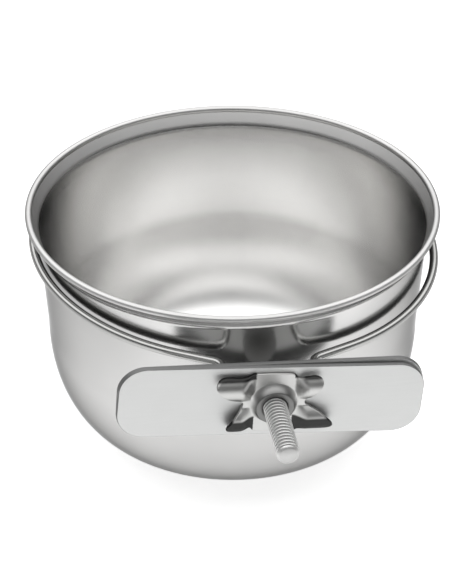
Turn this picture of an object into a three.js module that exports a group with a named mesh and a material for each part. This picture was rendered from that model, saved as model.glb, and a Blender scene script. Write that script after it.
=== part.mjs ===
// A stainless steel feeder: a deep drawn bowl that hangs by its flared lip in a
// wire ring, on a two-plate clamp that a long bolt and a butterfly nut close
// on the bars of a cage or on a fence.
//
// Millimetres, Z up. The bolt points to -Y. The origin lies where the bolt's
// axis meets the clamping face of the rear plate.

import * as THREE from 'three'
import { mergeVertices } from 'three/addons/utils/BufferGeometryUtils.js'

// ---- Driving sizes ----

// Bowl: radii are of the outer face, depths are measured down from the lip.
const NECK_R = 54.3
const NECK_DROP = 5
const LIP_R = NECK_R + 3.2
const LIP_ROLL_R = 0.95
const BOWL_H = 69
const BOWL_SHEET = 0.7
const WALL_TOP_R = NECK_R - 0.3
const WALL_TOP_DROP = 8
const WALL_LOW_R = WALL_TOP_R - 2.1
const WALL_LOW_DROP = 34
const BASE_R = 26
const CORNER_FULLNESS = 2.25

// Wire ring: it goes round the neck with some slack
const WIRE_R = 1.2
const RING_SLACK = 0.45
const RING_R = NECK_R + WIRE_R + RING_SLACK
const RING_OPEN_DEG = 24
const TAIL_X = 12
const TAIL_BEND_R = 4
const WELD_LEG = 1.0

// Clamp
const PLATE_L = 81.5
const PLATE_H = 21.8
const PLATE_T = 1.3
const PLATE_CORNER_R = 7.5
const PLATE_SHIFT = -0.5
const CLAMP_GAP = 0.3
const FRONT_TURN_DEG = 1.6

// Bolt, quarter-inch thread
const BOLT_R = 3.15
const BOLT_FREE = 23.3
const BOLT_CHAMFER = 0.9
const HEAD_R = 6.2
const HEAD_H = 3.0

// Butterfly nut
const NUT_SHEET = 1.1
const NUT_H = 3.4
const COLLAR_R = 5.1
const COLLAR_FOOT_R = 6.3
const WEB_H = 0.9
const LEAF_RISE = 2.2
const LEAF_RIDGE = 5.0
const LEAF_HALF = 3.9
const LEAF_BLEND = 4

// Clearances
const RUN_GAP = 0.3
const WELD_GAP = 0.1

// How the holder sits round the bowl in the photograph
const TAIL_REACH = 9.35
const REACH = RING_R + TAIL_REACH
const BOLT_BELOW_RING = 5.0
const PITCH_DEG = 3.0
const ROLL_DEG = 3.1
const RIM_ABOVE_RING = 11.7
const BOWL_OFFSET_X = -0.35
const BOWL_OFFSET_Y = 0.3

// ---- Shared helpers ----

const rad = THREE.MathUtils.degToRad

// Fresh metal for each piece, so that each one can be restyled alone.
function steel(name, color, roughness) {
  return new THREE.MeshStandardMaterial({ name, color, roughness, metalness: 1 })
}

// Welds a raw surface into one closed, smooth-shaded solid with a name.
function solid(name, geometry, material) {
  geometry.deleteAttribute('normal')
  geometry.deleteAttribute('uv')
  const closed = mergeVertices(geometry, 1e-4)
  closed.computeVertexNormals()
  const mesh = new THREE.Mesh(closed, material)
  mesh.name = name
  return mesh
}

// Revolves [radius, height] points about Z.
function revolveZ(points, segments) {
  const profile = points.map(([r, z]) => new THREE.Vector2(r, z))
  return new THREE.LatheGeometry(profile, segments).rotateX(Math.PI / 2)
}

// Lofts closed sections of equal point count into a capped tube.
function loft(sections) {
  const count = sections[0].length
  const last = sections.length - 1
  const positions = sections.flat().flatMap((p) => [p.x, p.y, p.z])
  const index = []
  for (let i = 0; i < last; i++) {
    for (let j = 0; j < count; j++) {
      const a = i * count + j
      const b = i * count + (j + 1) % count
      index.push(a, b, b + count, a, b + count, a + count)
    }
  }
  for (let j = 1; j < count - 1; j++) {
    index.push(0, j + 1, j)
    index.push(last * count, last * count + j, last * count + j + 1)
  }
  const geometry = new THREE.BufferGeometry()
  geometry.setAttribute('position', new THREE.Float32BufferAttribute(positions, 3))
  geometry.setIndex(index)
  return geometry
}

// ---- Bowl ----

// Outer line of the wall, from the middle of the base up to the neck.
function bowlOuterLine() {
  const line = [new THREE.Vector2(0, -BOWL_H)]
  const cornerSteps = 12
  for (let i = 0; i <= cornerSteps; i++) {
    const a = (Math.PI / 2) * (i / cornerSteps)
    const out = Math.pow(Math.sin(a), 2 / CORNER_FULLNESS)
    const down = Math.pow(Math.cos(a), 2 / CORNER_FULLNESS)
    const r = BASE_R + (WALL_LOW_R - BASE_R) * out
    const z = -WALL_LOW_DROP - (BOWL_H - WALL_LOW_DROP) * down
    line.push(new THREE.Vector2(r, z))
  }
  line.push(new THREE.Vector2(WALL_TOP_R, -WALL_TOP_DROP))
  line.push(new THREE.Vector2(NECK_R, -NECK_DROP))
  return line
}

// The flare runs straight from the neck into a rolled edge, which is drawn from
// the flare's underside over the top to its inside.
function lipRoll() {
  const centre = new THREE.Vector2(LIP_R - LIP_ROLL_R, -LIP_ROLL_R)
  const flare = Math.atan2(centre.y + NECK_DROP, centre.x - NECK_R)
  const half = Math.asin(BOWL_SHEET / 2 / LIP_ROLL_R)
  const steps = 10
  const roll = []
  for (let i = 0; i <= steps; i++) {
    const a = flare - Math.PI + half + 2 * (Math.PI - half) * (i / steps)
    const x = centre.x + LIP_ROLL_R * Math.cos(a)
    roll.push(new THREE.Vector2(x, centre.y + LIP_ROLL_R * Math.sin(a)))
  }
  return roll
}

// The same line moved inward by the sheet's thickness.
function insetLine(line, distance) {
  return line.map((p, i) => {
    const before = line[Math.max(i - 1, 0)]
    const after = line[Math.min(i + 1, line.length - 1)]
    const along = after.clone().sub(before).normalize()
    const inner = new THREE.Vector2(p.x - along.y * distance, p.y + along.x * distance)
    return i === 0 ? new THREE.Vector2(0, p.y + distance) : inner
  })
}

function makeBowl() {
  const outer = bowlOuterLine()
  const inner = insetLine(outer, BOWL_SHEET)
  const line = [...outer, ...lipRoll(), ...inner.reverse()]
  const profile = line.map((p) => [p.x, p.y])
  return solid('bowl', revolveZ(profile, 80), steel('bowl_steel', 0xc9cac7, 0.16))
}

// ---- Wire ring ----

// Centre line of the wire in the ring's plane: from one weld round to the other.
function ringLine() {
  const open = rad(RING_OPEN_DEG)
  const steps = 84
  const arc = []
  for (let i = 0; i <= steps; i++) {
    const a = open + (2 * Math.PI - 2 * open) * (i / steps)
    arc.push(new THREE.Vector2(RING_R * Math.sin(a), -RING_R * Math.cos(a)))
  }
  const start = arc[0]
  const slope = new THREE.Vector2(-Math.cos(open), -Math.sin(open))
  const corner = start.clone().addScaledVector(slope, (start.x - TAIL_X) / Math.cos(open))
  const turn = Math.PI / 2 - open
  const cut = TAIL_BEND_R * Math.tan(turn / 2)
  const centre = new THREE.Vector2(TAIL_X + TAIL_BEND_R, corner.y - cut)
  const tail = []
  const bendSteps = 6
  for (let i = 0; i <= bendSteps; i++) {
    const a = turn * (i / bendSteps)
    const x = centre.x - TAIL_BEND_R * Math.cos(a)
    tail.push(new THREE.Vector2(x, centre.y + TAIL_BEND_R * Math.sin(a)))
  }
  tail.unshift(new THREE.Vector2(TAIL_X, -REACH + PLATE_T))
  const mirrored = tail.map((p) => new THREE.Vector2(-p.x, p.y)).reverse()
  return [...tail, ...arc, ...mirrored]
}

// Round section of the wire at point i of the line, square to it.
function wireSection(line, i, sides) {
  const before = line[Math.max(i - 1, 0)]
  const after = line[Math.min(i + 1, line.length - 1)]
  const along = after.clone().sub(before).normalize()
  const section = []
  for (let j = 0; j < sides; j++) {
    const a = (2 * Math.PI * j) / sides
    const across = WIRE_R * Math.cos(a)
    const p = line[i]
    const x = p.x - along.y * across
    section.push(new THREE.Vector3(x, p.y + along.x * across, WIRE_R * Math.sin(a)))
  }
  return section
}

function makeRing() {
  const line = ringLine()
  const sections = line.map((_, i) => wireSection(line, i, 12))
  return solid('ring_wire', loft(sections), steel('wire_steel', 0xc4c5c2, 0.2))
}

// Fillet of weld round a wire end, against the back of the rear plate.
function makeWeld(name, x) {
  const inner = WIRE_R + WELD_GAP
  const profile = [[inner, 0], [inner + WELD_LEG, 0]]
  profile.push([inner + WELD_LEG * 0.62, WELD_LEG * 0.45])
  profile.push([inner, WELD_LEG], [inner, 0])
  const bead = revolveZ(profile, 16).rotateX(-Math.PI / 2)
  const mesh = solid(name, bead, steel(name + '_steel', 0x9f9d98, 0.45))
  mesh.position.set(x, PLATE_T, BOLT_BELOW_RING)
  return mesh
}

// ---- Clamp plates ----

// Rounded bar with a bolt hole, drawn face on and given its thickness.
function plateGeometry(holeRadius) {
  const w = PLATE_L / 2
  const h = PLATE_H / 2
  const c = PLATE_CORNER_R
  const x = PLATE_SHIFT
  const shape = new THREE.Shape()
  shape.absarc(x + w - c, h - c, c, 0, Math.PI / 2)
  shape.absarc(x - w + c, h - c, c, Math.PI / 2, Math.PI)
  shape.absarc(x - w + c, -h + c, c, Math.PI, Math.PI * 1.5)
  shape.absarc(x + w - c, -h + c, c, Math.PI * 1.5, Math.PI * 2)
  const hole = new THREE.Path()
  hole.absarc(0, 0, holeRadius, 0, Math.PI * 2, true)
  shape.holes.push(hole)
  const options = { depth: PLATE_T, bevelEnabled: false, curveSegments: 10 }
  return new THREE.ExtrudeGeometry(shape, options).rotateX(Math.PI / 2)
}

function makeRearPlate() {
  const geometry = plateGeometry(BOLT_R + RUN_GAP).translate(0, PLATE_T, 0)
  return solid('rear_plate', geometry, steel('rear_plate_steel', 0xd0d1ce, 0.22))
}

// Built with its back on y = 0 and its bolt hole on the axis.
function makeFrontPlate() {
  const geometry = plateGeometry(BOLT_R + RUN_GAP)
  const mesh = solid('front_plate', geometry, steel('front_plate_steel', 0xd3d4d1, 0.22))
  mesh.position.y = -CLAMP_GAP
  mesh.rotation.y = rad(FRONT_TURN_DEG)
  return mesh
}

// ---- Bolt ----

// Low round head behind the rear plate, shank through both, chamfered tip.
function makeBolt() {
  const tip = CLAMP_GAP + PLATE_T + BOLT_FREE
  const head = PLATE_T + HEAD_H
  const profile = [
    [0, -tip],
    [BOLT_R - BOLT_CHAMFER, -tip],
    [BOLT_R, -tip + BOLT_CHAMFER],
    [BOLT_R, PLATE_T],
    [HEAD_R, PLATE_T],
    [HEAD_R, PLATE_T + HEAD_H * 0.35],
    [HEAD_R * 0.85, PLATE_T + HEAD_H * 0.7],
    [HEAD_R * 0.5, PLATE_T + HEAD_H * 0.95],
    [0, head],
  ]
  const points = profile.map(([r, y]) => new THREE.Vector2(r, y))
  const geometry = new THREE.LatheGeometry(points, 32)
  return solid('bolt', geometry, steel('bolt_steel', 0xb9b9b5, 0.3))
}

// ---- Butterfly nut ----

// Half of the blank's outline seen from the front, anticlockwise from the right
// notch: short leaf, middle web, long leaf. The other half is its half turn.
function nutOutline(samples) {
  const half = [
    [8.2, -0.2], [10.4, 3.4], [12.3, 5.9], [12.4, 7.6], [10.9, 8.4], [8.2, 8.2],
    [6.2, 7.7], [4.6, 9.0], [0, 9.4], [-5.2, 9.4], [-7.2, 8.7], [-9.6, 8.6],
    [-13.8, 8.7], [-15.6, 7.5], [-15.4, 5.6], [-12.0, 2.6],
  ]
  const whole = [...half, ...half.map(([x, y]) => [-x, -y])]
  const points = whole.map(([x, y]) => new THREE.Vector3(x, y, 0))
  const curve = new THREE.CatmullRomCurve3(points, true, 'centripetal')
  return curve.getSpacedPoints(samples).slice(0, samples)
}

// Height of the pressed sheet's front face above the plate it seats on: the
// leaves arch towards the viewer and the web between them stays low.
function sheetHeight(x, y) {
  const offRidge = (Math.abs(y) - LEAF_RIDGE) / LEAF_HALF
  const arch = LEAF_RISE * Math.max(0, 1 - offRidge * offRidge)
  const intoLeaf = THREE.MathUtils.smoothstep(Math.abs(x), COLLAR_R, COLLAR_R + LEAF_BLEND)
  return WEB_H + (NUT_SHEET - WEB_H + 0.1 + arch) * intoLeaf
}

// One pressed sheet: rings of points run from the bore out to the blank's edge,
// once over the front face and once over the back.
function nutGeometry() {
  const bore = BOLT_R + RUN_GAP
  const samples = 80
  const outline = nutOutline(samples)
  const rings = []
  const ring = (place) => rings.push(outline.map(place))
  const onCircle = (p, r, h) => {
    const scale = r / Math.hypot(p.x, p.y)
    return new THREE.Vector3(p.x * scale, p.y * scale, h)
  }
  const onLeaf = (p, t, drop) => {
    const r = Math.hypot(p.x, p.y)
    const q = onCircle(p, COLLAR_FOOT_R + (r - COLLAR_FOOT_R) * t, 0)
    q.z = Math.max(sheetHeight(q.x, q.y) - drop, 0)
    return q
  }
  ring((p) => onCircle(p, bore, 0))
  ring((p) => onCircle(p, bore, NUT_H - 0.4))
  ring((p) => onCircle(p, bore + 0.4, NUT_H))
  ring((p) => onCircle(p, COLLAR_R - 0.25, NUT_H))
  ring((p) => onCircle(p, COLLAR_R, NUT_H - 0.25))
  const out = [0, 0.15, 0.3, 0.45, 0.6, 0.75, 0.9, 1]
  out.forEach((t) => ring((p) => onLeaf(p, t, 0)))
  out.slice(1).reverse().forEach((t) => ring((p) => onLeaf(p, t, NUT_SHEET)))
  ring((p) => onCircle(p, COLLAR_FOOT_R, 0))
  const positions = rings.flat().flatMap((p) => [p.x, p.y, p.z])
  const index = []
  for (let i = 0; i < rings.length; i++) {
    const next = (i + 1) % rings.length
    for (let j = 0; j < samples; j++) {
      const k = (j + 1) % samples
      const a = i * samples + j
      const b = i * samples + k
      index.push(a, next * samples + j, next * samples + k)
      index.push(a, next * samples + k, b)
    }
  }
  const geometry = new THREE.BufferGeometry()
  geometry.setAttribute('position', new THREE.Float32BufferAttribute(positions, 3))
  geometry.setIndex(index)
  return geometry.rotateX(Math.PI / 2)
}

function makeNut() {
  const mesh = solid('wing_nut', nutGeometry(), steel('nut_steel', 0xa9a8a4, 0.32))
  mesh.position.y = -(CLAMP_GAP + PLATE_T)
  return mesh
}

// ---- Assembly ----

// The holder leans as photographed: its front hangs low and its left side high.
const holder = new THREE.Group()
holder.name = 'holder'
holder.rotation.set(rad(PITCH_DEG), rad(ROLL_DEG), 0)

const ring = makeRing()
ring.position.set(0, REACH, BOLT_BELOW_RING)
holder.add(ring, makeRearPlate(), makeFrontPlate(), makeBolt(), makeNut())
holder.add(makeWeld('weld_left', -TAIL_X), makeWeld('weld_right', TAIL_X))

// The bowl stands upright in the leaning ring.
const bowl = makeBowl()
const ringCentre = ring.position.clone().applyEuler(holder.rotation)
bowl.position.copy(ringCentre)
bowl.position.add(new THREE.Vector3(BOWL_OFFSET_X, BOWL_OFFSET_Y, RIM_ABOVE_RING))

const feeder = new THREE.Group()
feeder.name = 'feeder'
feeder.add(holder, bowl)
feeder.updateMatrixWorld(true)

export default feeder
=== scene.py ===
import math

import bmesh
import bpy
from mathutils import Matrix, Vector, noise


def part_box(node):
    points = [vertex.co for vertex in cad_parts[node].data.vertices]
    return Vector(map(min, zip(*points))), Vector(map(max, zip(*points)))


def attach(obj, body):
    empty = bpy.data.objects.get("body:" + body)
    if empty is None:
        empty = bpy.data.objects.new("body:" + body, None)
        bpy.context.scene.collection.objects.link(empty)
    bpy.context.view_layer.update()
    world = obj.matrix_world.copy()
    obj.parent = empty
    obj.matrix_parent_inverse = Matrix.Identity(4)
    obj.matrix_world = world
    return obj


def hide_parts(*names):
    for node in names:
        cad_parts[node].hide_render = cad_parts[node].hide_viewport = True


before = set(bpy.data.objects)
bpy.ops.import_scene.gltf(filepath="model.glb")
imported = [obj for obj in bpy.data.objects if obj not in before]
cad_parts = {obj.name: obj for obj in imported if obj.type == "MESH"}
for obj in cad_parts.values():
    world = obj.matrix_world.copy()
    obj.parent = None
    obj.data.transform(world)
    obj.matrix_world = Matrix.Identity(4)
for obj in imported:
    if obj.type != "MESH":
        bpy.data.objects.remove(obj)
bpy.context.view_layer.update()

mm = 0.001


# ---- Where things sit ----
# The bowl stands upright. The holder, with its ring, plates, bolt and nut,
# leans as photographed: its front hangs low and its left side sits high.

HOLDER_PITCH = math.radians(3.0)
HOLDER_ROLL = math.radians(3.1)
holder_lean = Matrix.Rotation(HOLDER_PITCH, 4, "X") @ Matrix.Rotation(HOLDER_ROLL, 4, "Y")

bowl_low, bowl_high = (Vector(corner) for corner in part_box("bowl"))
bowl_middle = (bowl_low + bowl_high) / 2
rim_centre = Vector((bowl_middle.x, bowl_middle.y, bowl_high.z))


# ---- Camera ----
# A long lens about 0.86 m off, looking down on the bowl from in front and a
# little to the left of the bolt, aimed so that the rim's centre sits high in
# the frame.

FRAME_HEIGHT_PX = 584
FOCAL_PX = 3103
RIM_ABOVE_CENTRE_PX = 86.5
RIM_RIGHT_OF_CENTRE_PX = 6.5
CAMERA_DISTANCE = 860 * mm
CAMERA_AZIMUTH = math.radians(-9.2)
CAMERA_ELEVATION = math.radians(30.95)
SENSOR_MM = 36

toward_camera = Vector((
    math.sin(CAMERA_AZIMUTH) * math.cos(CAMERA_ELEVATION),
    -math.cos(CAMERA_AZIMUTH) * math.cos(CAMERA_ELEVATION),
    math.sin(CAMERA_ELEVATION),
))
aim_down = math.atan(RIM_ABOVE_CENTRE_PX / FOCAL_PX)
aim_left = math.atan(RIM_RIGHT_OF_CENTRE_PX / FOCAL_PX) / math.cos(CAMERA_ELEVATION)

camera_data = bpy.data.cameras.new("photo_camera")
camera_data.sensor_fit = "VERTICAL"
camera_data.sensor_height = SENSOR_MM
camera_data.lens = SENSOR_MM * FOCAL_PX / FRAME_HEIGHT_PX
camera_data.clip_start = 0.01
camera_data.clip_end = 20
camera = bpy.data.objects.new("photo_camera", camera_data)
camera.location = rim_centre + toward_camera * CAMERA_DISTANCE
camera.rotation_euler = (
    math.pi / 2 - CAMERA_ELEVATION - aim_down,
    0,
    CAMERA_AZIMUTH + aim_left,
)
bpy.context.scene.collection.objects.link(camera)
bpy.context.scene.camera = camera


# ---- Studio ----
# A floor that is white round the bowl and light grey to the front and the
# sides, with some light of its own, and a sky that is dim near the horizon and
# bright high up. The steel takes its light and dark tones from these two.

FLOOR_HALF = 10.0
FLOOR_GAP = 0.05 * mm
FLOOR_ROUGHNESS = 0.8
FLOOR_WHITE, FLOOR_GREY = 0.72, 0.34
WHITE_MIDDLE_X, WHITE_MIDDLE_Y = 6 * mm, 140 * mm
WHITE_HALF_X, WHITE_HALF_Y = 84 * mm, 230 * mm

# The floor's own light is a share of its tone, and a little more under the bowl.
FLOOR_LIGHT = 0.78
GLOW = 0.1
GLOW_FULL_TO, GLOW_ENDS = 30 * mm, 110 * mm

# The sky's brightness by how far up a direction points, from level to overhead.
SKY_STEPS = [
    (0.0, 0.03), (0.15, 0.06), (0.3, 0.16), (0.5, 0.25), (0.6, 0.96), (0.92, 0.96), (1.0, 0.75),
]
SKY_LEAN_BACK = 0.25
SKY_STRENGTH = 1.6

BOX_PLACE = (0.0, 0.065, 1.4)
BOX_SIDE = 1.8
BOX_WATTS = 0.5


def feed(tree, node, values):
    """Sets the node's inputs to the values, or links them where a value is a socket."""
    for place, value in values.items():
        if isinstance(value, bpy.types.NodeSocket):
            tree.links.new(value, node.inputs[place])
        else:
            node.inputs[place].default_value = value


def new_node(tree, kind, values, operation=None):
    """Adds a node to the tree, with its operation if it has one, and feeds its inputs."""
    node = tree.nodes.new(kind)
    if operation:
        node.operation = operation
    feed(tree, node, values)
    return node


def maths(tree, operation, *values):
    """The result of a maths node on the given numbers or sockets."""
    return new_node(tree, "ShaderNodeMath", dict(enumerate(values)), operation).outputs[0]


def colour_ramp(tree, factor, stops):
    """The colour for factor on a ramp through the stops, each a place and its colour."""
    ramp = new_node(tree, "ShaderNodeValToRGB", {"Fac": factor})
    elements = ramp.color_ramp.elements
    for element, (place, colour) in ((elements[0], stops[0]), (elements[1], stops[-1])):
        element.position = place
        element.color = (*colour, 1)
    for place, colour in stops[1:-1]:
        elements.new(place).color = (*colour, 1)
    return ramp.outputs["Color"]


scene = bpy.context.scene
scene.view_settings.view_transform = "Standard"

floor_z = bowl_low.z - FLOOR_GAP
floor_mesh = bpy.data.meshes.new("floor")
floor_mesh.from_pydata(
    [(x * FLOOR_HALF, y * FLOOR_HALF, floor_z) for x, y in ((-1, -1), (1, -1), (1, 1), (-1, 1))],
    [],
    [(0, 1, 2, 3)],
)
floor = bpy.data.objects.new("floor", floor_mesh)
scene.collection.objects.link(floor)
floor_paint = bpy.data.materials.new("floor_white")
floor_paint.use_nodes = True
paint = floor_paint.node_tree
on_floor = paint.nodes.new("ShaderNodeTexCoord").outputs["Object"]

# The white part is an oblong. Distance from its middle is counted in its half
# sizes: it is white up to 1, which is its edge, and grey from 2.
oblong = paint.nodes.new("ShaderNodeMapping")
oblong.vector_type = "TEXTURE"
feed(paint, oblong, {
    "Vector": on_floor,
    "Location": (WHITE_MIDDLE_X, WHITE_MIDDLE_Y, floor_z),
    "Scale": (WHITE_HALF_X, WHITE_HALF_Y, 1),
})
from_middle = new_node(paint, "ShaderNodeVectorMath", {0: oblong.outputs["Vector"]}, "ABSOLUTE")
half_sizes = new_node(paint, "ShaderNodeSeparateXYZ", {0: from_middle.outputs[0]}).outputs
furthest = maths(paint, "MAXIMUM", half_sizes["X"], half_sizes["Y"])
floor_tone = colour_ramp(paint, maths(paint, "MULTIPLY", furthest, 1 / 2), [
    (1 / 2, [FLOOR_WHITE] * 3),
    (2 / 2, [FLOOR_GREY] * 3),
])
from_bowl = new_node(paint, "ShaderNodeVectorMath", {
    0: on_floor,
    1: (bowl_middle.x, bowl_middle.y, floor_z),
}, "DISTANCE")
glow = new_node(paint, "ShaderNodeMapRange", {
    "Value": from_bowl.outputs["Value"],
    "From Min": GLOW_FULL_TO,
    "From Max": GLOW_ENDS,
    "To Min": GLOW,
    "To Max": 0.0,
}).outputs["Result"]
feed(paint, paint.nodes["Principled BSDF"], {
    "Base Color": floor_tone,
    "Roughness": FLOOR_ROUGHNESS,
    "Emission Color": (1, 1, 1, 1),
    "Emission Strength": maths(paint, "MULTIPLY_ADD", floor_tone, FLOOR_LIGHT, glow),
})
floor_mesh.materials.append(floor_paint)

world = bpy.data.worlds.new("studio")
scene.world = world
world.use_nodes = True
sky = world.node_tree
sky.nodes.clear()
sky_way = sky.nodes.new("ShaderNodeTexCoord").outputs["Generated"]
how_high = new_node(sky, "ShaderNodeVectorMath", {
    0: sky_way,
    1: (0.0, SKY_LEAN_BACK, 1.0),
}, "DOT_PRODUCT").outputs["Value"]
sky_tone = colour_ramp(sky, how_high, [(height, [grey] * 3) for height, grey in SKY_STEPS])
sky_light = new_node(sky, "ShaderNodeBackground", {"Color": sky_tone, "Strength": SKY_STRENGTH})
new_node(sky, "ShaderNodeOutputWorld", {"Surface": sky_light.outputs[0]})

# A weak, broad box overhead, which shines straight down.
box_light = bpy.data.lights.new("overhead_box", "AREA")
box_light.shape = "RECTANGLE"
box_light.size = BOX_SIDE
box_light.size_y = BOX_SIDE
box_light.energy = BOX_WATTS
overhead_box = bpy.data.objects.new("overhead_box", box_light)
overhead_box.location = BOX_PLACE
scene.collection.objects.link(overhead_box)


# ---- Bowl ----
# Deep drawn in one piece from thin stainless sheet and polished in a lathe.
# Its lip flares outward, its wall narrows a little, and a broad round corner
# leads to the flat base. It hangs loose in the wire ring.

BOWL_SHEET = 0.7 * mm
LIP_R = (bowl_high.x - bowl_low.x) / 2
BOWL_H = bowl_high.z - bowl_low.z
NECK_R, NECK_DROP = 54.3 * mm, 5.0 * mm
NECK_BEND = 1.0 * mm
LIP_ROLL_R = 0.95 * mm
WALL_TOP_R, WALL_TOP_DROP = NECK_R - 0.3 * mm, 8.0 * mm
WALL_LOW_R, WALL_LOW_DROP = WALL_TOP_R - 2.1 * mm, 34.0 * mm
BASE_R = 26.0 * mm
CORNER_FULLNESS = 2.25
BOWL_SEGMENTS = 256
ON_AXIS = 1e-7

# How much shade is painted on the steel, how satin it is, and how far each of these takes to
# fade.
OUTSIDE_SHADE, OUTSIDE_FADE = 1.0, 8 * mm
LIP_SHADE = 0.65
FLOOR_FADE = 4 * mm
SATIN_FADE = 1 * mm

SMEAR_SCALE = 45
SMEAR_DARKEST = 0.93


def lip_roll():
    """The rolled edge, from the flare's underside over the top to its inside."""
    x, z = LIP_R - LIP_ROLL_R, -LIP_ROLL_R
    flare = math.atan2(z + NECK_DROP, x - NECK_R)
    half = math.asin(BOWL_SHEET / 2 / LIP_ROLL_R)
    steps = 32
    roll = []
    for i in range(steps + 1):
        a = flare - math.pi + half + 2 * (math.pi - half) * i / steps
        roll.append((x + LIP_ROLL_R * math.cos(a), z + LIP_ROLL_R * math.sin(a)))
    return roll


def bowl_outer_line(flare_end):
    """Radius and depth of the outer face, from the base's middle up to flare_end."""
    line = [(BASE_R * share, -BOWL_H) for share in (0.0, 0.5, 0.9)]
    corner_steps = 48
    for i in range(corner_steps + 1):
        a = math.pi / 2 * i / corner_steps
        out = math.sin(a) ** (2 / CORNER_FULLNESS)
        down = math.cos(a) ** (2 / CORNER_FULLNESS) if i < corner_steps else 0.0
        r = BASE_R + (WALL_LOW_R - BASE_R) * out
        line.append((r, -WALL_LOW_DROP - (BOWL_H - WALL_LOW_DROP) * down))
    wall_steps = 12
    for i in range(1, wall_steps + 1):
        t = i / wall_steps
        r = WALL_LOW_R + (WALL_TOP_R - WALL_LOW_R) * t
        line.append((r, -WALL_LOW_DROP + (WALL_LOW_DROP - WALL_TOP_DROP) * t))
    neck = Vector((NECK_R, -NECK_DROP))
    below = neck + (Vector(line[-1]) - neck).normalized() * NECK_BEND
    above = neck + (Vector(flare_end) - neck).normalized() * NECK_BEND
    bend_steps = 8
    for i in range(bend_steps + 1):
        t = i / bend_steps
        line.append(tuple(below * (1 - t) ** 2 + neck * 2 * t * (1 - t) + above * t * t))
    line.append(tuple(Vector(flare_end).lerp(above, 0.05)))
    return line


def inset(line, distance):
    """The line moved inward by the sheet's thickness."""
    moved = []
    for i, (r, z) in enumerate(line):
        r0, z0 = line[max(i - 1, 0)]
        r1, z1 = line[min(i + 1, len(line) - 1)]
        length = math.hypot(r1 - r0, z1 - z0)
        moved.append((r - (z1 - z0) / length * distance, z + (r1 - r0) / length * distance))
    moved[0] = (0.0, line[0][1] + distance)
    return moved


def clamped(value):
    """The value, held between 0 and 1."""
    return min(max(value, 0.0), 1.0)


def mark(mesh, name, amounts):
    """Writes an amount for each point of the mesh, such as how much shade is painted there or how
    satin it is, for its material to read.
    """
    marks = mesh.attributes.new(name, "FLOAT", "POINT")
    marks.data.foreach_set("value", amounts)


def smooth_mesh(name, verts, faces):
    """A mesh of these points and faces, shaded smooth."""
    mesh = bpy.data.meshes.new(name)
    mesh.from_pydata(verts, [], faces)
    mesh.polygons.foreach_set("use_smooth", [True] * len(mesh.polygons))
    return mesh


def turned(name, profile, segments, closed=False):
    """Mesh of a profile of (radius, height) points turned about Z, closed at points on it."""
    verts, rings = [], []
    for r, z in profile:
        if r < ON_AXIS:
            rings.append([len(verts)] * segments)
            verts.append((0.0, 0.0, z))
            continue
        start = len(verts)
        rings.append([start + j for j in range(segments)])
        for j in range(segments):
            a = 2 * math.pi * j / segments
            verts.append((r * math.cos(a), r * math.sin(a), z))
    if closed:
        rings.append(rings[0])
    faces = []
    for low, high in zip(rings[:-1], rings[1:]):
        for j in range(segments):
            k = (j + 1) % segments
            corners = [low[j], low[k], high[k], high[j]]
            face = [v for n, v in enumerate(corners) if v not in corners[:n]]
            if len(face) > 2:
                faces.append(face)
    return smooth_mesh(name, verts, faces)


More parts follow.
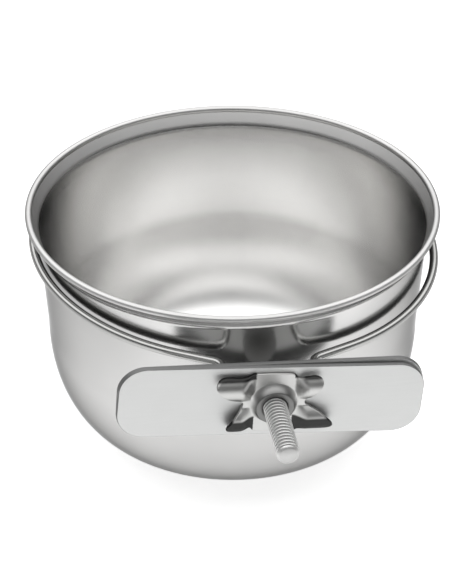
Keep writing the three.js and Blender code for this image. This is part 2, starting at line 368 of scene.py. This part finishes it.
def steel_finish(name, tint, gloss, grain_stretch, grain_scale, grain_depth,
                 centre=(0, 0, 0), spun=0.0, edge=0.6, shade_and_roughness=(1.0, 0.0), satined=0.0):
    """Bare steel with a fine grain, the long way of grain_stretch or spun round Z at centre.

    Its roughness and tint wander a little, as handling and cleaning leave them. Where the
    mesh is marked with painted shade, its tint is multiplied by the first of the two numbers
    given for it, which paints that shade, and its roughness changes by the second. Where it is
    marked satin, its roughness grows by satined.
    """
    metal = bpy.data.materials.new(name)
    metal.use_nodes = True
    tree = metal.node_tree
    shader = tree.nodes["Principled BSDF"]

    place = tree.nodes.new("ShaderNodeTexCoord").outputs["Object"]
    to_centre = [-c for c in centre]
    shift = new_node(tree, "ShaderNodeMapping", {"Vector": place, "Location": to_centre})
    where = grain_way = shift.outputs["Vector"]
    if spun:
        turn_way = tree.nodes.new("ShaderNodeTangent")
        turn_way.direction_type = "RADIAL"
        turn_way.axis = "Z"
        feed(tree, shader, {
            "Anisotropic": spun,
            "Anisotropic Rotation": 0.25,
            "Tangent": turn_way.outputs["Tangent"],
        })
        split = new_node(tree, "ShaderNodeSeparateXYZ", {0: where}).outputs
        flat = new_node(tree, "ShaderNodeCombineXYZ", {"X": split["X"], "Y": split["Y"]})
        radius = new_node(tree, "ShaderNodeVectorMath", {0: flat.outputs[0]}, "LENGTH")
        across = {"X": radius.outputs["Value"], "Z": split["Z"]}
        grain_way = new_node(tree, "ShaderNodeCombineXYZ", across).outputs[0]
    stretch = new_node(tree, "ShaderNodeMapping", {"Vector": grain_way, "Scale": grain_stretch})
    grain = new_node(tree, "ShaderNodeTexNoise", {
        "Vector": stretch.outputs["Vector"],
        "Scale": grain_scale,
        "Detail": 6,
        "Roughness": 0.65,
    }).outputs["Fac"]
    smear = new_node(tree, "ShaderNodeTexNoise", {
        "Vector": where,
        "Scale": SMEAR_SCALE,
        "Detail": 4,
    }).outputs["Fac"]
    marks = {}
    for label in ("painted_shade", "satin"):
        reader = tree.nodes.new("ShaderNodeAttribute")
        reader.attribute_name = label
        marks[label] = reader.outputs["Fac"]

    tone = colour_ramp(tree, smear, [(0.25, [c * SMEAR_DARKEST for c in tint]), (0.75, tint)])
    # Painted shade: the tint is multiplied down where the mesh is marked with it.
    kept = new_node(tree, "ShaderNodeMapRange", {
        "Value": marks["painted_shade"],
        "To Min": 1.0,
        "To Max": shade_and_roughness[0],
    }).outputs["Result"]
    dimmed = new_node(tree, "ShaderNodeVectorMath", {0: tone, "Scale": kept}, "SCALE")
    rough = new_node(tree, "ShaderNodeMapRange", {
        "Value": maths(tree, "ADD", grain, smear),
        "From Min": 0.6,
        "From Max": 1.4,
        "To Min": gloss[0],
        "To Max": gloss[1],
    }).outputs["Result"]
    rough = maths(tree, "MULTIPLY_ADD", marks["painted_shade"], shade_and_roughness[1], rough)
    rough = maths(tree, "MULTIPLY_ADD", marks["satin"], satined, rough)
    dent = new_node(tree, "ShaderNodeBump", {
        "Strength": 1.0,
        "Distance": grain_depth,
        "Height": grain,
    })
    feed(tree, shader, {
        "Metallic": 1.0,
        "Specular Tint": (edge, edge, edge, 1),
        "Base Color": dimmed.outputs[0],
        "Roughness": rough,
        "Normal": dent.outputs["Normal"],
    })
    return metal


def piece(name, mesh, material, node, body):
    """Puts a finished mesh in the scene in place of its CAD node, on that node's body."""
    shown = bpy.data.objects.new(name, mesh)
    scene.collection.objects.link(shown)
    mesh.materials.clear()
    mesh.materials.append(material)
    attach(shown, body)
    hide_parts(node)


bowl_roll = lip_roll()
bowl_line = bowl_outer_line(bowl_roll[0])
bowl_inside = list(reversed(inset(bowl_line, BOWL_SHEET)))
bowl_profile = bowl_line + bowl_roll + bowl_inside
bowl_mesh = turned("bowl_shell", bowl_profile, BOWL_SEGMENTS)
bowl_painted_shade, bowl_satin = [], []
# Shade is painted on the outside, fully from a little below the neck down, on both faces of the
# lip, and on the inside base; the steel is a little glossier where it is.
for i, (r, z) in enumerate(bowl_profile):
    is_outside = i < len(bowl_line)
    below_neck = clamped((-z - NECK_DROP) / OUTSIDE_FADE)
    if is_outside:
        painted_shade = LIP_SHADE + (OUTSIDE_SHADE - LIP_SHADE) * below_neck
        satin = 0.0
    else:
        inside_base_shade = clamped((BASE_R + FLOOR_FADE - r) / FLOOR_FADE)
        painted_shade = max(LIP_SHADE * (1 - below_neck), inside_base_shade)
        satin = clamped((z + NECK_DROP) / SATIN_FADE)
    copies = 1 if r < ON_AXIS else BOWL_SEGMENTS
    bowl_painted_shade += [painted_shade] * copies
    bowl_satin += [satin] * copies
mark(bowl_mesh, "painted_shade", bowl_painted_shade)
mark(bowl_mesh, "satin", bowl_satin)
bowl_mesh.transform(Matrix.Translation(rim_centre))
bowl_steel = steel_finish(
    "polished_bowl_steel",
    tint=(0.868, 0.864, 0.855),
    gloss=(0.21, 0.27),
    grain_stretch=(1, 1, 1),
    grain_scale=1400,
    grain_depth=0.002 * mm,
    centre=rim_centre,
    spun=0.35,
    edge=0.35,
    shade_and_roughness=(0.68, -0.08),
    satined=0.18,
)
piece("bowl_shell", bowl_mesh, bowl_steel, "bowl", "dish")


# ---- Wire ring ----
# One length of round stainless wire bent to a hoop. Its two ends turn forward
# and are welded to the back of the rear plate.

WIRE_R = 1.2 * mm
WIRE_SIDES = 24
RING_SLACK = 0.45 * mm
RING_R = NECK_R + WIRE_R + RING_SLACK
RING_OPEN = math.radians(24)
TAIL_X = 12 * mm
TAIL_BEND_R = 4 * mm
TAIL_REACH = 9.35 * mm
REACH = RING_R + TAIL_REACH
BOLT_BELOW_RING = 5.0 * mm
PLATE_T = 1.3 * mm

# Shade is painted on the wire's inner side, which faces the bowl, and it is rougher there, from
# just outside its middle inward.
INNER_SIDE = 0.2 * mm
INNER_FADE = 0.6 * mm


def ring_points():
    """Points of the wire's centre line in the ring's plane, from weld to weld."""
    arc_steps = 200
    arc = []
    for i in range(arc_steps + 1):
        a = RING_OPEN + (2 * math.pi - 2 * RING_OPEN) * i / arc_steps
        arc.append((RING_R * math.sin(a), -RING_R * math.cos(a)))
    start_x, start_y = arc[0]
    corner_y = start_y - (start_x - TAIL_X) * math.tan(RING_OPEN)
    turn = math.pi / 2 - RING_OPEN
    centre_y = corner_y - TAIL_BEND_R * math.tan(turn / 2)
    tail = [(TAIL_X, -REACH + PLATE_T)]
    bend_steps = 14
    for i in range(bend_steps + 1):
        a = turn * i / bend_steps
        x = TAIL_X + TAIL_BEND_R - TAIL_BEND_R * math.cos(a)
        tail.append((x, centre_y + TAIL_BEND_R * math.sin(a)))
    return tail + arc + [(-x, y) for x, y in reversed(tail)]


def shape_tree(name, given, made, numbers):
    """A geometry tree that turns the given shape into the made one.

    Returns the tree, its given sockets and the name by which a modifier knows each number.
    """
    tree = bpy.data.node_groups.new(name, "GeometryNodeTree")
    new_socket = tree.interface.new_socket
    new_socket(given, in_out="INPUT", socket_type="NodeSocketGeometry")
    ids = {}
    for label, kind in numbers.items():
        socket = new_socket(label, in_out="INPUT", socket_type="NodeSocket" + kind)
        ids[label] = socket.identifier
    new_socket(made, in_out="OUTPUT", socket_type="NodeSocketGeometry")
    return tree, tree.nodes.new("NodeGroupInput").outputs, ids


def end_tree(tree, shape, material):
    """Makes the tree's shape real, gives it its material and hands it out."""
    real = new_node(tree, "GeometryNodeRealizeInstances", {"Geometry": shape})
    painted = new_node(tree, "GeometryNodeSetMaterial", {
        "Geometry": real.outputs["Geometry"],
        "Material": material,
    })
    new_node(tree, "NodeGroupOutput", {0: painted.outputs["Geometry"]})


def wire_tree(material):
    """Geometry nodes that give a path its round wire."""
    numbers = {"Wire Radius": "Float", "Sides": "Int"}
    tree, given, ids = shape_tree("bent_wire", "Path", "Wire", numbers)
    path = new_node(tree, "GeometryNodeMeshToCurve", {"Mesh": given["Path"]})
    section = new_node(tree, "GeometryNodeCurvePrimitiveCircle", {
        "Resolution": given["Sides"],
        "Radius": given["Wire Radius"],
    })
    sweep = new_node(tree, "GeometryNodeCurveToMesh", {
        "Curve": path.outputs["Curve"],
        "Profile Curve": section.outputs["Curve"],
        "Fill Caps": True,
    })
    smooth = new_node(tree, "GeometryNodeSetShadeSmooth", {"Geometry": sweep.outputs["Mesh"]})
    end_tree(tree, smooth.outputs["Geometry"], material)
    return tree, ids


def settled(shape, name):
    """The plain mesh that an object comes out as. The object itself goes."""
    bpy.context.view_layer.update()
    result = shape.evaluated_get(bpy.context.evaluated_depsgraph_get())
    mesh = bpy.data.meshes.new_from_object(result)
    mesh.name = name
    bpy.data.objects.remove(shape)
    return mesh


def grown(name, seed_mesh, tree, ids, numbers):
    """The plain mesh that a geometry tree makes of seed_mesh with these numbers."""
    seed = bpy.data.objects.new(name + "_seed", seed_mesh)
    scene.collection.objects.link(seed)
    maker = seed.modifiers.new("maker", "NODES")
    maker.node_group = tree
    for label, number in numbers.items():
        maker[ids[label]] = number
    return settled(seed, name)


wire_steel = steel_finish(
    "drawn_wire_steel",
    tint=(0.52, 0.52, 0.51),
    gloss=(0.14, 0.26),
    grain_stretch=(0.3, 0.3, 1),
    grain_scale=900,
    grain_depth=0.004 * mm,
    shade_and_roughness=(0.15, 0.2),
)
path_mesh = bpy.data.meshes.new("ring_path")
path_points = [(x, y + REACH, BOLT_BELOW_RING) for x, y in ring_points()]
path_mesh.from_pydata(path_points, [(i, i + 1) for i in range(len(path_points) - 1)], [])
bent_wire, wire_ids = wire_tree(wire_steel)
ring_mesh = grown("ring", path_mesh, bent_wire, wire_ids, {
    "Wire Radius": WIRE_R,
    "Sides": WIRE_SIDES,
})
mark(ring_mesh, "painted_shade", [
    clamped((RING_R + INNER_SIDE - math.hypot(vert.co.x, vert.co.y - REACH)) / INNER_FADE)
    for vert in ring_mesh.vertices
])
ring_mesh.transform(holder_lean)
piece("ring", ring_mesh, wire_steel, "ring_wire", "holder")


# ---- Welds ----
# A short fillet of weld metal round each wire end, against the rear plate.
# Each is left as the torch laid it, with small ripples.

WELD_LEG = 1.0 * mm
WELD_GAP = 0.02 * mm
WELD_SEGMENTS = 48
# How much of the leg the bead's curved face takes, across and up.
WELD_ACROSS, WELD_UP = 0.98, 0.9
RIPPLE_SCALE = 900
RIPPLE_DEPTH = 0.12

weld_steel = steel_finish(
    "weld_steel",
    tint=(0.45, 0.44, 0.43),
    gloss=(0.3, 0.5),
    grain_stretch=(1, 1, 1),
    grain_scale=2500,
    grain_depth=0.05 * mm,
)


def weld_bead(name, side):
    """Mesh of one bead round the tail on this side, -1 for left and 1 for right."""
    inner = WIRE_R + WELD_GAP
    profile = [(inner, 0.0), (inner + WELD_LEG, 0.0)]
    steps = 8
    for i in range(1, steps + 1):
        a = math.pi / 2 * i / steps
        r = inner + WELD_LEG * (1 - math.sin(a) * WELD_ACROSS)
        profile.append((r, WELD_LEG * (1 - math.cos(a)) * WELD_UP))
    mesh = turned(name, profile, WELD_SEGMENTS, closed=True)
    for vert in mesh.vertices:
        out = math.hypot(vert.co.x, vert.co.y) - inner
        ripple = noise.noise(Vector((vert.co.x, vert.co.y, side)) * RIPPLE_SCALE)
        swell = 1 - RIPPLE_DEPTH * (1 + ripple) * max(out, 0) / WELD_LEG
        vert.co.x *= swell
        vert.co.y *= swell
    mesh.transform(Matrix.Rotation(-math.pi / 2, 4, "X"))
    mesh.transform(Matrix.Translation((side * TAIL_X, PLATE_T, BOLT_BELOW_RING)))
    mesh.transform(holder_lean)
    return mesh


for bead, side, weld in (("bead_left", -1, "weld_left"), ("bead_right", 1, "weld_right")):
    piece(bead, weld_bead(bead, side), weld_steel, weld, "holder")


# ---- Clamp plates ----
# Two bars blanked from flat stainless strip, with round corners and one bolt
# hole each. The rear one carries the ring; the front one is loose on the bolt
# and sits turned a little.

PLATE_L = 81.5 * mm
PLATE_H = 21.8 * mm
PLATE_CORNER_R = 7.5 * mm
PLATE_CORNER_STEPS = 24
PLATE_SHIFT = -0.5 * mm
PLATE_EDGE_R = 0.22 * mm
CLAMP_GAP = 0.3 * mm
FRONT_TURN = math.radians(1.6)
BOLT_R = 3.15 * mm
BOLT_HOLE_R = BOLT_R + 0.3 * mm
HOLE_STEPS = 48
MERGE_DISTANCE = 1e-6

# Shade is painted on a plate's back below the height given first here, and it is rougher there;
# its edges are darkened and roughened a little less.
BACK_SHADE_TOP = -3.6 * mm
BACK_SHADE_FADE = 1.2 * mm
EDGE_DARKENING = 0.75
FACE_DEPTH = 0.02 * mm
SQUARE_ON = 0.999


def closed_spline(curve, points):
    """Adds a closed line through the points to a flat curve."""
    spline = curve.splines.new("POLY")
    spline.points.add(len(points) - 1)
    for point, (x, z) in zip(spline.points, points):
        point.co = (x, z, 0, 1)
    spline.use_cyclic_u = True


def plate_mesh(name):
    """A bar with eased edges, its front face on y = -PLATE_T and its back on y = 0."""
    outline = []
    for side_x, side_z, quarter in ((1, 1, 0), (-1, 1, 1), (-1, -1, 2), (1, -1, 3)):
        x = PLATE_SHIFT + side_x * (PLATE_L / 2 - PLATE_CORNER_R)
        z = side_z * (PLATE_H / 2 - PLATE_CORNER_R)
        for i in range(PLATE_CORNER_STEPS + 1):
            a = math.pi / 2 * (quarter + i / PLATE_CORNER_STEPS)
            outline.append((x + PLATE_CORNER_R * math.cos(a), z + PLATE_CORNER_R * math.sin(a)))
    hole = []
    for i in range(HOLE_STEPS):
        a = -2 * math.pi * i / HOLE_STEPS
        hole.append((BOLT_HOLE_R * math.cos(a), BOLT_HOLE_R * math.sin(a)))
    curve = bpy.data.curves.new(name, "CURVE")
    curve.dimensions = "2D"
    curve.fill_mode = "BOTH"
    curve.extrude = PLATE_T / 2 - PLATE_EDGE_R
    curve.bevel_depth = PLATE_EDGE_R
    curve.bevel_resolution = 4
    curve.offset = -PLATE_EDGE_R
    closed_spline(curve, outline)
    closed_spline(curve, hole)
    drawn = bpy.data.objects.new(name, curve)
    scene.collection.objects.link(drawn)
    mesh = settled(drawn, name)

    shell = bmesh.new()
    shell.from_mesh(mesh)
    bmesh.ops.remove_doubles(shell, verts=shell.verts, dist=MERGE_DISTANCE)
    bmesh.ops.recalc_face_normals(shell, faces=shell.faces)
    for height in (BACK_SHADE_TOP, BACK_SHADE_TOP + BACK_SHADE_FADE):
        parts = shell.verts[:] + shell.edges[:] + shell.faces[:]
        bmesh.ops.bisect_plane(shell, geom=parts, plane_co=(0, height, 0), plane_no=(0, 1, 0))
    shell.to_mesh(mesh)
    shell.free()
    mesh.transform(Matrix.Rotation(math.pi / 2, 4, "X"))
    mesh.transform(Matrix.Translation((0, -PLATE_T / 2, 0)))
    for face in mesh.polygons:
        face.use_smooth = abs(face.normal.y) < SQUARE_ON
    # Painted shade on the back's lower part; the edges are darkened less.
    painted_shade = []
    for vert in mesh.vertices:
        if vert.co.y > -FACE_DEPTH:
            painted_shade.append(clamped((BACK_SHADE_TOP + BACK_SHADE_FADE - vert.co.z) / BACK_SHADE_FADE))
        elif vert.co.y < -PLATE_T + FACE_DEPTH:
            painted_shade.append(0.0)
        else:
            painted_shade.append(EDGE_DARKENING)
    mark(mesh, "painted_shade", painted_shade)
    return mesh


plate_steel = steel_finish(
    "blanked_strip_steel",
    tint=(0.66, 0.665, 0.66),
    gloss=(0.44, 0.56),
    grain_stretch=(0.06, 1, 1),
    grain_scale=1600,
    grain_depth=0.0008 * mm,
    shade_and_roughness=(0.12, 0.1),
)
rear_mesh = plate_mesh("rear_bar")
rear_mesh.transform(holder_lean @ Matrix.Translation((0, PLATE_T, 0)))
piece("rear_bar", rear_mesh, plate_steel, "rear_plate", "holder")

front_mesh = plate_mesh("front_bar")
front_place = Matrix.Translation((0, -CLAMP_GAP, 0)) @ Matrix.Rotation(FRONT_TURN, 4, "Y")
front_mesh.transform(holder_lean @ front_place)
piece("front_bar", front_mesh, plate_steel, "front_plate", "front_jaw")


# ---- Bolt ----
# A quarter-inch plated screw, fixed by its low head behind the rear plate.
# Its thread runs up to a chamfered tip.

BOLT_FREE = 23.3 * mm
BOLT_CHAMFER = 0.9 * mm
CHAMFER_H = 0.5 * mm
TIP_EDGE_R, TIP_EDGE_H = 0.15 * mm, 0.1 * mm
THREAD_PITCH = 1.27 * mm
THREAD_ROOT_R = 2.95 * mm
HEAD_R = 6.2 * mm
HEAD_H = 3.0 * mm
HEAD_EDGE = 0.25 * mm
HEAD_RIM = 0.3
SHOULDER_FROM, SHOULDER_TO = 0.4, 0.5
BOLT_SEGMENTS = 64
bolt_tip = CLAMP_GAP + PLATE_T + BOLT_FREE

# The tooth's widths are shares of the pitch, its height and middle of the depth.
TOOTH_FOOT, TOOTH_CREST = 0.9, 0.3
TOOTH_HEIGHT, TOOTH_MIDDLE = 1.4, 0.3
STEPS_PER_TURN = 40

# Shade is painted on the head, which sits behind the rear plate, and, less, on the end of the
# tip; both are rougher as well.
HEAD_SHADE, TIP_SHADE = 1.0, 0.4
HEAD_FACE = 0.01 * mm
TIP_FACE = 0.3 * mm


def thread_tree(material):
    """Geometry nodes that wind one rolled thread on a shank, along +Z."""
    labels = ("Pitch", "Turns", "Root Radius", "Crest Radius")
    numbers = {label: "Float" for label in labels}
    tree, given, ids = shape_tree("rolled_thread", "Shank", "Bolt", numbers)
    depth = maths(tree, "SUBTRACT", given["Crest Radius"], given["Root Radius"])
    into_tooth = maths(tree, "MULTIPLY", depth, TOOTH_MIDDLE)
    middle = maths(tree, "ADD", given["Root Radius"], into_tooth)
    helix = new_node(tree, "GeometryNodeCurveSpiral", {
        "Resolution": STEPS_PER_TURN,
        "Rotations": given["Turns"],
        "Start Radius": middle,
        "End Radius": middle,
        "Height": maths(tree, "MULTIPLY", given["Pitch"], given["Turns"]),
    })
    upright = tree.nodes.new("GeometryNodeSetCurveNormal")
    upright.mode = "Z_UP"
    feed(tree, upright, {"Curve": helix.outputs["Curve"]})
    tooth = tree.nodes.new("GeometryNodeCurvePrimitiveQuadrilateral")
    tooth.mode = "TRAPEZOID"
    feed(tree, tooth, {
        "Offset": 0,
        "Bottom Width": maths(tree, "MULTIPLY", given["Pitch"], TOOTH_FOOT),
        "Top Width": maths(tree, "MULTIPLY", given["Pitch"], TOOTH_CREST),
        "Height": maths(tree, "MULTIPLY", depth, TOOTH_HEIGHT),
    })
    stand = new_node(tree, "GeometryNodeTransform", {
        "Geometry": tooth.outputs["Curve"],
        "Rotation": (0, 0, math.radians(-90)),
    })
    wind = new_node(tree, "GeometryNodeCurveToMesh", {
        "Curve": upright.outputs["Curve"],
        "Profile Curve": stand.outputs["Geometry"],
        "Fill Caps": True,
    })
    both = new_node(tree, "GeometryNodeJoinGeometry", {"Geometry": wind.outputs["Mesh"]})
    feed(tree, both, {"Geometry": given["Shank"]})
    end_tree(tree, both.outputs["Geometry"], material)
    return tree, ids


def bolt_profile():
    """Radius and height of the bolt, from the middle of its tip to that of its head."""
    profile = [
        (0.0, bolt_tip),
        (BOLT_R - BOLT_CHAMFER - TIP_EDGE_R, bolt_tip),
        (BOLT_R - BOLT_CHAMFER, bolt_tip - TIP_EDGE_H),
        (THREAD_ROOT_R, bolt_tip - CHAMFER_H),
        (THREAD_ROOT_R, -PLATE_T * SHOULDER_FROM),
        (BOLT_R, -PLATE_T * SHOULDER_TO),
        (BOLT_R, -PLATE_T),
        (HEAD_R - HEAD_EDGE, -PLATE_T),
        (HEAD_R, -PLATE_T - HEAD_EDGE),
        (HEAD_R, -PLATE_T - HEAD_H * HEAD_RIM),
    ]
    steps = 12
    for i in range(1, steps + 1):
        a = math.pi / 2 * i / steps
        dome = HEAD_H * (HEAD_RIM + (1 - HEAD_RIM) * math.sin(a))
        profile.append((HEAD_R * math.cos(a) if i < steps else 0.0, -PLATE_T - dome))
    return profile


bolt_steel = steel_finish(
    "plated_thread_steel",
    tint=(0.84, 0.84, 0.83),
    gloss=(0.4, 0.52),
    grain_stretch=(1, 1, 1),
    grain_scale=1800,
    grain_depth=0.01 * mm,
    shade_and_roughness=(0.3, 0.1),
)
shank_mesh = turned("bolt_shank", list(reversed(bolt_profile())), BOLT_SEGMENTS)
rolled_thread, thread_ids = thread_tree(bolt_steel)
bolt_mesh = grown("threaded_bolt", shank_mesh, rolled_thread, thread_ids, {
    "Pitch": THREAD_PITCH,
    "Turns": (bolt_tip - BOLT_CHAMFER) / THREAD_PITCH,
    "Root Radius": THREAD_ROOT_R,
    "Crest Radius": BOLT_R,
})
bolt_painted_shade = []
for vert in bolt_mesh.vertices:
    on_head = vert.co.z < -PLATE_T + HEAD_FACE
    on_tip = vert.co.z > bolt_tip - TIP_FACE
    bolt_painted_shade.append(HEAD_SHADE if on_head else TIP_SHADE if on_tip else 0.0)
mark(bolt_mesh, "painted_shade", bolt_painted_shade)
bolt_mesh.transform(holder_lean @ Matrix.Rotation(math.pi / 2, 4, "X"))
piece("threaded_bolt", bolt_mesh, bolt_steel, "bolt", "holder")


# ---- Butterfly nut ----
# Pressed from one piece of steel sheet and plated: a threaded collar drawn
# up from the middle, a low web above and below it, and four arched leaves to
# turn it by.

NUT_SHEET = 1.1 * mm
NUT_H = 3.4 * mm
NUT_BORE_R = BOLT_R + 0.05 * mm
NUT_MOUTH = 0.5 * mm
NUT_EDGE = 0.25 * mm
NUT_POINTS = 384
COLLAR_R = 5.1 * mm
COLLAR_FOOT_R = 6.3 * mm
WEB_H = 0.9 * mm
LEAF_RISE = 2.2 * mm
LEAF_RIDGE = 5.0 * mm
LEAF_HALF = 3.9 * mm
LEAF_BLEND = 4 * mm
LEAF_ABOVE_WEB = 0.1 * mm
LEAF_STEPS = 26
LAST_STEP_AT = 0.985

# Shade is painted on the lower leaves from just inside their ridge outward, where the real
# ones are open and dark inside, on the upper ones only at their lips, and, less, on the collar;
# all these are rougher too.
HOLLOW_SHADE_FROM = 3.9 * mm
LIP_SHADE_FROM = 7.6 * mm
LEAF_SHADE_FADE = 0.5 * mm
COLLAR_SHADE, COLLAR_MARGIN = 0.7, 0.6 * mm

# Half of the blank's outline in mm, anticlockwise from the notch on the right.
NUT_HALF_OUTLINE = [
    (8.2, -0.2), (10.4, 3.4), (12.3, 5.9), (12.4, 7.6), (10.9, 8.4), (8.2, 8.2),
    (6.2, 7.7), (4.6, 9.0), (0, 9.4), (-5.2, 9.4), (-7.2, 8.7), (-9.6, 8.6),
    (-13.8, 8.7), (-15.6, 7.5), (-15.4, 5.6), (-12.0, 2.6),
]


def nut_outline():
    """Points round the blank's edge: a smooth line through the half outline and its half turn."""
    knots = [Vector((x * mm, y * mm)) for x, y in NUT_HALF_OUTLINE]
    knots += [-k for k in knots]
    fine = []
    steps = 24
    for i in range(len(knots)):
        p0, p1, p2, p3 = (knots[(i + n) % len(knots)] for n in (-1, 0, 1, 2))
        for s in range(steps):
            t = s / steps
            a = p1 * 2
            b = (p2 - p0) * t
            c = (p0 * 2 - p1 * 5 + p2 * 4 - p3) * t * t
            d = (p1 * 3 - p0 - p2 * 3 + p3) * t ** 3
            fine.append((a + b + c + d) / 2)
    return fine[:: max(1, len(fine) // NUT_POINTS)]


def sheet_height(x, y):
    """Height of the pressed sheet's front face above the front plate."""
    off_ridge = (abs(y) - LEAF_RIDGE) / LEAF_HALF
    arch = LEAF_RISE * max(0.0, 1 - off_ridge * off_ridge)
    into = clamped((abs(x) - COLLAR_R) / LEAF_BLEND)
    into = into * into * (3 - 2 * into)
    return WEB_H + (NUT_SHEET - WEB_H + LEAF_ABOVE_WEB + arch) * into


def nut_mesh():
    """The nut, lofted up its bore, over the collar, out along the sheet and back beneath it."""
    outline = nut_outline()

    def on_circle(r, height):
        points = [p * (r / p.length) for p in outline]
        return [(q.x, q.y, height) for q in points]

    def on_sheet(out, drop):
        points = [
            p * ((COLLAR_FOOT_R + (p.length - COLLAR_FOOT_R) * out) / p.length) for p in outline
        ]
        return [(q.x, q.y, max(sheet_height(q.x, q.y) - drop, 0.0)) for q in points]

    rings = [on_circle(r, height) for r, height in (
        (NUT_BORE_R, 0.0),
        (NUT_BORE_R, NUT_H - NUT_MOUTH),
        (NUT_BORE_R + 0.7 * NUT_MOUTH, NUT_H - 0.1 * NUT_MOUTH),
        (NUT_BORE_R + NUT_MOUTH, NUT_H),
        (COLLAR_R - 0.35 * mm, NUT_H),
        (COLLAR_R - 0.1 * mm, NUT_H - 0.1 * mm),
        (COLLAR_R, NUT_H - 0.3 * mm),
    )]
    steps_out = [LAST_STEP_AT * i / LEAF_STEPS for i in range(LEAF_STEPS + 1)]
    rings += [on_sheet(out, 0.0) for out in steps_out]
    rings += [on_sheet(1.0, NUT_EDGE), on_sheet(1.0, NUT_SHEET - NUT_EDGE)]
    rings += [on_sheet(out, NUT_SHEET) for out in reversed(steps_out[1:])]
    rings.append(on_circle(COLLAR_FOOT_R, 0.0))
    count = len(outline)
    verts = [point for ring in rings for point in ring]
    faces = []
    for i in range(len(rings)):
        low, high = i * count, (i + 1) % len(rings) * count
        for j in range(count):
            k = (j + 1) % count
            faces.append((low + j, high + j, high + k, low + k))
    mesh = smooth_mesh("butterfly_nut", verts, faces)
    # The amount of painted shade at each point: leaf hollows and lips, and the collar.
    painted_shade = []
    for x, y, _ in verts:
        leaf_shade = clamped((abs(y) - (HOLLOW_SHADE_FROM if y < 0 else LIP_SHADE_FROM)) / LEAF_SHADE_FADE)
        if math.hypot(x, y) < COLLAR_R + COLLAR_MARGIN:
            painted_shade.append(COLLAR_SHADE)
        else:
            painted_shade.append(leaf_shade if abs(x) > COLLAR_R else 0.0)
    mark(mesh, "painted_shade", painted_shade)
    return mesh


nut_steel = steel_finish(
    "pressed_nut_steel",
    tint=(0.60, 0.60, 0.59),
    gloss=(0.3, 0.44),
    grain_stretch=(1, 1, 1),
    grain_scale=1500,
    grain_depth=0.008 * mm,
    shade_and_roughness=(0.08, 0.05),
)
nut = nut_mesh()
nut.transform(Matrix.Rotation(math.pi / 2, 4, "X"))
nut.transform(holder_lean @ Matrix.Translation((0, -CLAMP_GAP - PLATE_T, 0)))
piece("butterfly_nut", nut, nut_steel, "wing_nut", "nut")
